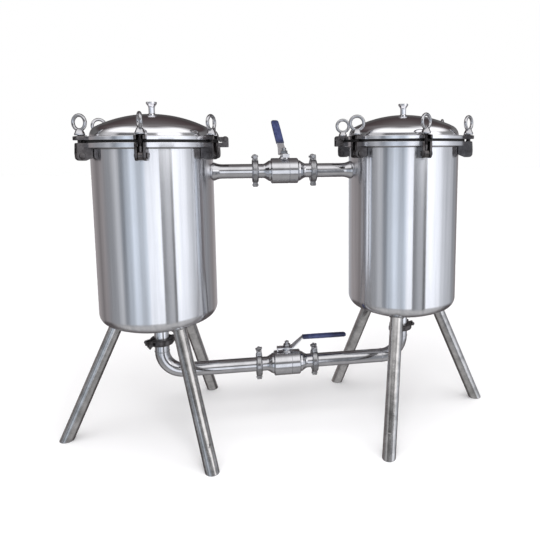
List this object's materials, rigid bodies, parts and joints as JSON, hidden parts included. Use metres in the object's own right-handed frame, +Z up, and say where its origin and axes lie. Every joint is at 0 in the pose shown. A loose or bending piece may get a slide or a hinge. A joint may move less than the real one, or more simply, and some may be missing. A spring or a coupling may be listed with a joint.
{
  "type": "duplex cartridge filter housing",
  "caption": "Twin upright stainless steel cartridge filter housings on splayed tube legs, with swing bolted domed lids and two cross-over lines with lever ball valves.",
  "frame": {"origin": "on the floor, at the centre of the bounding box's bottom face, midway between the two vessels", "axes": "+Z up, +X from the left vessel to the right vessel along the cross-over lines, +Y away from the front"},
  "size_m": [1.2074, 0.4878, 0.884],
  "materials": {
    "polished_steel": "mirror polished",
    "satin_steel": "satin",
    "cast_steel": "cast and tumbled",
    "silicone_seal": "matte",
    "filter_media": "pleated felt",
    "blue_vinyl": "satin vinyl"
  },
  "bodies": {
    "housing": {"left_shell": "polished_steel", "left_body_flange": "cast_steel", "left_lid": "polished_steel", "left_lid_gasket": "silicone_seal", "left_outlet_seat": "satin_steel", "left_cartridge": "filter_media", "left_leg_1": "satin_steel", "left_leg_2": "satin_steel", "left_leg_3": "satin_steel", "left_nozzle_clamp": "cast_steel", "upper_pipe_left": "satin_steel", "upper_clamp_left": "cast_steel", "lower_pipe_left": "satin_steel", "lower_clamp_left": "cast_steel", "right_shell": "polished_steel", "right_body_flange": "cast_steel", "right_lid": "polished_steel", "right_lid_gasket": "silicone_seal", "right_outlet_seat": "satin_steel", "right_cartridge": "filter_media", "right_leg_1": "satin_steel", "right_leg_2": "satin_steel", "right_leg_3": "satin_steel", "right_nozzle_clamp": "cast_steel", "upper_pipe_right": "satin_steel", "upper_clamp_right": "cast_steel", "lower_pipe_right": "satin_steel", "lower_clamp_right": "cast_steel", "upper_valve_body": "cast_steel", "lower_valve_body": "cast_steel"},
    "left_bolt_1": {"left_swing_bolt_1": "cast_steel"},
    "left_nut_1": {"left_ring_nut_1": "polished_steel"},
    "left_bolt_2": {"left_swing_bolt_2": "cast_steel"},
    "left_nut_2": {"left_ring_nut_2": "polished_steel"},
    "left_bolt_3": {"left_swing_bolt_3": "cast_steel"},
    "left_nut_3": {"left_ring_nut_3": "polished_steel"},
    "left_bolt_4": {"left_swing_bolt_4": "cast_steel"},
    "left_nut_4": {"left_ring_nut_4": "polished_steel"},
    "left_bolt_5": {"left_swing_bolt_5": "cast_steel"},
    "left_nut_5": {"left_ring_nut_5": "polished_steel"},
    "left_bolt_6": {"left_swing_bolt_6": "cast_steel"},
    "left_nut_6": {"left_ring_nut_6": "polished_steel"},
    "right_bolt_1": {"right_swing_bolt_1": "cast_steel"},
    "right_nut_1": {"right_ring_nut_1": "polished_steel"},
    "right_bolt_2": {"right_swing_bolt_2": "cast_steel"},
    "right_nut_2": {"right_ring_nut_2": "polished_steel"},
    "right_bolt_3": {"right_swing_bolt_3": "cast_steel"},
    "right_nut_3": {"right_ring_nut_3": "polished_steel"},
    "right_bolt_4": {"right_swing_bolt_4": "cast_steel"},
    "right_nut_4": {"right_ring_nut_4": "polished_steel"},
    "right_bolt_5": {"right_swing_bolt_5": "cast_steel"},
    "right_nut_5": {"right_ring_nut_5": "polished_steel"},
    "right_bolt_6": {"right_swing_bolt_6": "cast_steel"},
    "right_nut_6": {"right_ring_nut_6": "polished_steel"},
    "upper_handle": {"upper_valve_ball": "polished_steel", "upper_valve_lever": "satin_steel", "upper_valve_grip": "blue_vinyl"},
    "lower_handle": {"lower_valve_ball": "polished_steel", "lower_valve_lever": "satin_steel", "lower_valve_grip": "blue_vinyl"}
  },
  "joints": [
    {"name": "left_bolt_1_swing", "type": "hinge", "parent": "housing", "child": "left_bolt_1", "pos_m": [-0.48494, -0.08425, 0.75], "axis": [0.5, -0.866, 0], "range_deg": [0, 120]},
    {"name": "left_nut_1_spin", "type": "hinge", "parent": "left_bolt_1", "child": "left_nut_1", "pos_m": [-0.48494, -0.08425, 0.798], "axis": [0, 0, 1], "continuous": true},
    {"name": "left_bolt_2_swing", "type": "hinge", "parent": "housing", "child": "left_bolt_2", "pos_m": [-0.33339, -0.17175, 0.75], "axis": [1, 0, 0], "range_deg": [0, 120]},
    {"name": "left_nut_2_spin", "type": "hinge", "parent": "left_bolt_2", "child": "left_nut_2", "pos_m": [-0.33339, -0.17175, 0.798], "axis": [0, 0, 1], "continuous": true},
    {"name": "left_bolt_3_swing", "type": "hinge", "parent": "housing", "child": "left_bolt_3", "pos_m": [-0.18183, -0.08425, 0.75], "axis": [0.5, 0.866, 0], "range_deg": [0, 120]},
    {"name": "left_nut_3_spin", "type": "hinge", "parent": "left_bolt_3", "child": "left_nut_3", "pos_m": [-0.18183, -0.08425, 0.798], "axis": [0, 0, 1], "continuous": true},
    {"name": "left_bolt_4_swing", "type": "hinge", "parent": "housing", "child": "left_bolt_4", "pos_m": [-0.18183, 0.09075, 0.75], "axis": [-0.5, 0.866, 0], "range_deg": [0, 120]},
    {"name": "left_nut_4_spin", "type": "hinge", "parent": "left_bolt_4", "child": "left_nut_4", "pos_m": [-0.18183, 0.09075, 0.798], "axis": [0, 0, 1], "continuous": true},
    {"name": "left_bolt_5_swing", "type": "hinge", "parent": "housing", "child": "left_bolt_5", "pos_m": [-0.33339, 0.17825, 0.75], "axis": [-1, 0, 0], "range_deg": [0, 120]},
    {"name": "left_nut_5_spin", "type": "hinge", "parent": "left_bolt_5", "child": "left_nut_5", "pos_m": [-0.33339, 0.17825, 0.798], "axis": [0, 0, 1], "continuous": true},
    {"name": "left_bolt_6_swing", "type": "hinge", "parent": "housing", "child": "left_bolt_6", "pos_m": [-0.48494, 0.09075, 0.75], "axis": [-0.5, -0.866, 0], "range_deg": [0, 120]},
    {"name": "left_nut_6_spin", "type": "hinge", "parent": "left_bolt_6", "child": "left_nut_6", "pos_m": [-0.48494, 0.09075, 0.798], "axis": [0, 0, 1], "continuous": true},
    {"name": "right_bolt_1_swing", "type": "hinge", "parent": "housing", "child": "right_bolt_1", "pos_m": [0.18306, -0.08425, 0.75], "axis": [0.5, -0.866, 0], "range_deg": [0, 120]},
    {"name": "right_nut_1_spin", "type": "hinge", "parent": "right_bolt_1", "child": "right_nut_1", "pos_m": [0.18306, -0.08425, 0.798], "axis": [0, 0, 1], "continuous": true},
    {"name": "right_bolt_2_swing", "type": "hinge", "parent": "housing", "child": "right_bolt_2", "pos_m": [0.33461, -0.17175, 0.75], "axis": [1, 0, 0], "range_deg": [0, 120]},
    {"name": "right_nut_2_spin", "type": "hinge", "parent": "right_bolt_2", "child": "right_nut_2", "pos_m": [0.33461, -0.17175, 0.798], "axis": [0, 0, 1], "continuous": true},
    {"name": "right_bolt_3_swing", "type": "hinge", "parent": "housing", "child": "right_bolt_3", "pos_m": [0.48617, -0.08425, 0.75], "axis": [0.5, 0.866, 0], "range_deg": [0, 120]},
    {"name": "right_nut_3_spin", "type": "hinge", "parent": "right_bolt_3", "child": "right_nut_3", "pos_m": [0.48617, -0.08425, 0.798], "axis": [0, 0, 1], "continuous": true},
    {"name": "right_bolt_4_swing", "type": "hinge", "parent": "housing", "child": "right_bolt_4", "pos_m": [0.48617, 0.09075, 0.75], "axis": [-0.5, 0.866, 0], "range_deg": [0, 120]},
    {"name": "right_nut_4_spin", "type": "hinge", "parent": "right_bolt_4", "child": "right_nut_4", "pos_m": [0.48617, 0.09075, 0.798], "axis": [0, 0, 1], "continuous": true},
    {"name": "right_bolt_5_swing", "type": "hinge", "parent": "housing", "child": "right_bolt_5", "pos_m": [0.33461, 0.17825, 0.75], "axis": [-1, 0, 0], "range_deg": [0, 120]},
    {"name": "right_nut_5_spin", "type": "hinge", "parent": "right_bolt_5", "child": "right_nut_5", "pos_m": [0.33461, 0.17825, 0.798], "axis": [0, 0, 1], "continuous": true},
    {"name": "right_bolt_6_swing", "type": "hinge", "parent": "housing", "child": "right_bolt_6", "pos_m": [0.18306, 0.09075, 0.75], "axis": [-0.5, -0.866, 0], "range_deg": [0, 120]},
    {"name": "right_nut_6_spin", "type": "hinge", "parent": "right_bolt_6", "child": "right_nut_6", "pos_m": [0.18306, 0.09075, 0.798], "axis": [0, 0, 1], "continuous": true},
    {"name": "upper_valve_turn", "type": "hinge", "parent": "housing", "child": "upper_handle", "pos_m": [0.00361, 0.00325, 0.705], "axis": [0, 0, 1], "range_deg": [-6, 84]},
    {"name": "lower_valve_turn", "type": "hinge", "parent": "housing", "child": "lower_handle", "pos_m": [0.00361, 0.00325, 0.167], "axis": [0, 0, 1], "range_deg": [-90, 0]}
  ]
}
